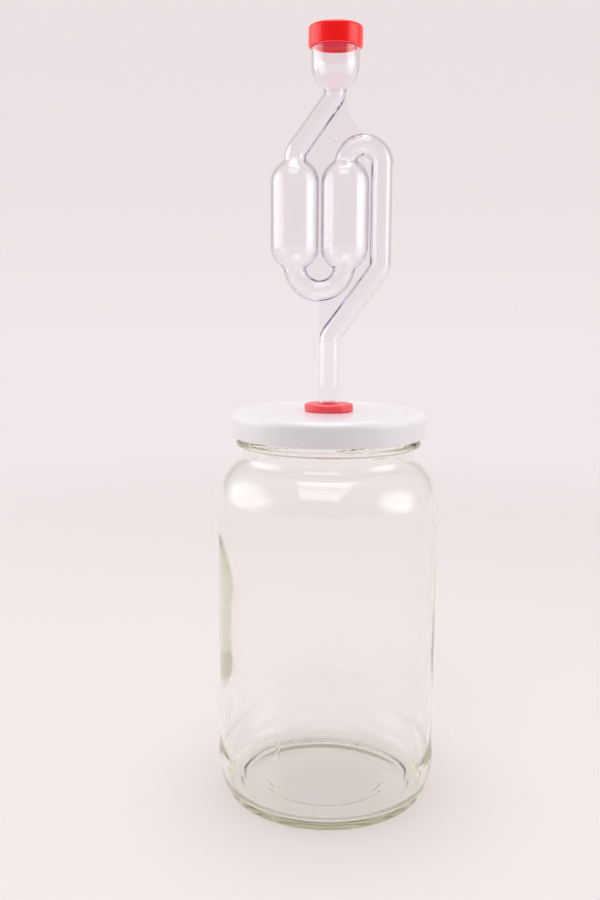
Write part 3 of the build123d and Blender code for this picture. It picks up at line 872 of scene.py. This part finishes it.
def lamp(name, azimuth, elevation, distance, width, height, watts, core, bar=None, through_glass=True):
    """A soft lamp aimed at the object that fades out from its core, with a dark bar at a height if given."""
    aim_height, bar_half, bar_edge = 150.0, 0.03, 0.07
    data = bpy.data.lights.new(name, "AREA")
    data.shape = "RECTANGLE"
    data.size, data.size_y, data.energy = width, height, watts
    data.use_nodes = True
    tree = data.node_tree
    tree.nodes.clear()
    across = add(tree, "NewGeometry").outputs["Parametric"]
    centred = add(tree, "VectorMath", {"operation": "SUBTRACT"}, {0: across, 1: (0.5, 0.5, 0.0)})
    far = add(tree, "VectorMath", {"operation": "LENGTH"}, {0: centred.outputs[0]}).outputs["Value"]
    if bar is not None:
        sides = add(tree, "VectorMath", {"operation": "ABSOLUTE"}, {0: centred.outputs[0]})
        sides = add(tree, "SeparateXYZ", {}, {0: sides.outputs[0]})
        far = add(tree, "Math", {"operation": "MAXIMUM"}, {0: sides.outputs[0], 1: sides.outputs[1]})
        far = far.outputs[0]
    fade = {0: far, 1: core / 2, 2: 0.5, 3: 1.0, 4: 0.0}
    level = add(tree, "MapRange", {"interpolation_type": "SMOOTHERSTEP"}, fade)
    if bar is not None:
        up = add(tree, "SeparateXYZ", {}, {0: across}).outputs[1]
        off = add(tree, "Math", {"operation": "SUBTRACT"}, {0: up, 1: bar})
        off = add(tree, "Math", {"operation": "ABSOLUTE"}, {0: off.outputs[0]})
        pane = add(tree, "MapRange", gentle, {0: off.outputs[0], 1: bar_half, 2: bar_edge})
        level = add(tree, "Math", {"operation": "MULTIPLY"}, {0: level.outputs[0], 1: pane.outputs[0]})
    glow = add(tree, "Emission", {}, {"Strength": level.outputs[0]})
    add(tree, "OutputLight", {}, {"Surface": glow.outputs[0]})
    holder = bpy.data.objects.new(name, data)
    bpy.context.scene.collection.objects.link(holder)
    a, e = math.radians(azimuth), math.radians(elevation)
    out = Vector((math.sin(a) * math.cos(e), -math.cos(a) * math.cos(e), math.sin(e)))
    holder.location = Vector((0, 0, aim_height * MM)) + out * distance
    holder.rotation_euler = out.to_track_quat("Z", "Y").to_euler()
    holder.visible_camera = False
    holder.visible_transmission = through_glass


def studio():
    """Pale floor that fades into the pale room, softboxes at the sides and above, and a window in front."""
    paper_reach, paper_end, floor_radius = 0.25, 1.0, 6.0
    scene = bpy.context.scene
    scene.view_settings.view_transform = "Standard"
    # Light crosses many walls of clear glass and plastic here, so it may turn often.
    scene.cycles.transparent_max_bounces = 48
    for kind in ("max_bounces", "transmission_bounces", "glossy_bounces"):
        setattr(scene.cycles, kind, 64)
    room()

    paper = bpy.data.materials.new("backdrop_paper")
    paper.use_nodes = True
    tree = paper.node_tree
    tree.nodes.clear()
    place = add(tree, "TexCoord").outputs["Object"]
    far = add(tree, "VectorMath", {"operation": "LENGTH"}, {0: place})
    fade = add(tree, "MapRange", gentle, {0: far.outputs["Value"], 1: paper_reach, 2: paper_end})
    matt = add(tree, "BsdfDiffuse", {}, {"Color": linear("#EFE7E6")})
    gone = add(tree, "BsdfTransparent")
    far_paper = add(tree, "Emission", {}, {"Color": linear("#F1E8E9"), "Strength": 1.0})
    beyond = add(tree, "MixShader", {}, {0: seen_rays(tree), 1: gone.outputs[0], 2: far_paper.outputs[0]})
    mix = add(tree, "MixShader", {}, {0: fade.outputs[0], 1: matt.outputs[0], 2: beyond.outputs[0]})
    add(tree, "OutputMaterial", {}, {"Surface": mix.outputs[0]})
    work = bmesh.new()
    bmesh.ops.create_circle(work, cap_ends=True, segments=96, radius=floor_radius)
    mesh = bpy.data.meshes.new("studio_floor")
    work.to_mesh(mesh)
    work.free()
    mesh.materials.append(paper)
    paper.cycles.emission_sampling = "NONE"
    floor = bpy.data.objects.new("studio_floor", mesh)
    scene.collection.objects.link(floor)

    # Name, azimuth and elevation, distance, width and height in metres, watts, and the share that is core.
    lamp("left_softbox", -97, 16, 1.8, 3.1, 2.3, 36.0, 0.22)
    lamp("right_softbox", 79, 18, 1.8, 2.2, 2.2, 31.0, 0.22)
    lamp("overhead_softbox", 180, 84, 2.0, 2.0, 2.0, 50.0, 0.3, through_glass=False)
    lamp("front_window", -12, 66, 2.0, 1.5, 1.9, 15.0, 0.86, bar=0.6)


def photo_camera():
    """Camera at the photograph's place, with the lens for its 600 by 900 frame."""
    focal_pixels, photo_height, place = 994.2, 900, (-7.21, -428.46, 222.57)
    pan, tilt, roll = 0.684, 9.022, 0.312
    data = bpy.data.cameras.new("photo_camera")
    data.sensor_width = 36.0
    data.lens = focal_pixels / photo_height * data.sensor_width
    camera = bpy.data.objects.new("photo_camera", data)
    bpy.context.scene.collection.objects.link(camera)
    camera.matrix_world = (
        Matrix.Translation(Vector(place) * MM)
        @ Matrix.Rotation(math.radians(pan), 4, "Z")
        @ Matrix.Rotation(math.radians(90 - tilt), 4, "X")
        @ Matrix.Rotation(math.radians(roll), 4, "Z")
    )
    bpy.context.scene.camera = camera


glass_jar()
lid_shell()
grommet()
airlock_cap()
airlock()
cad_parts["lid_gasket"].material_slots[0].material = cured_plastisol()
studio()
photo_camera()
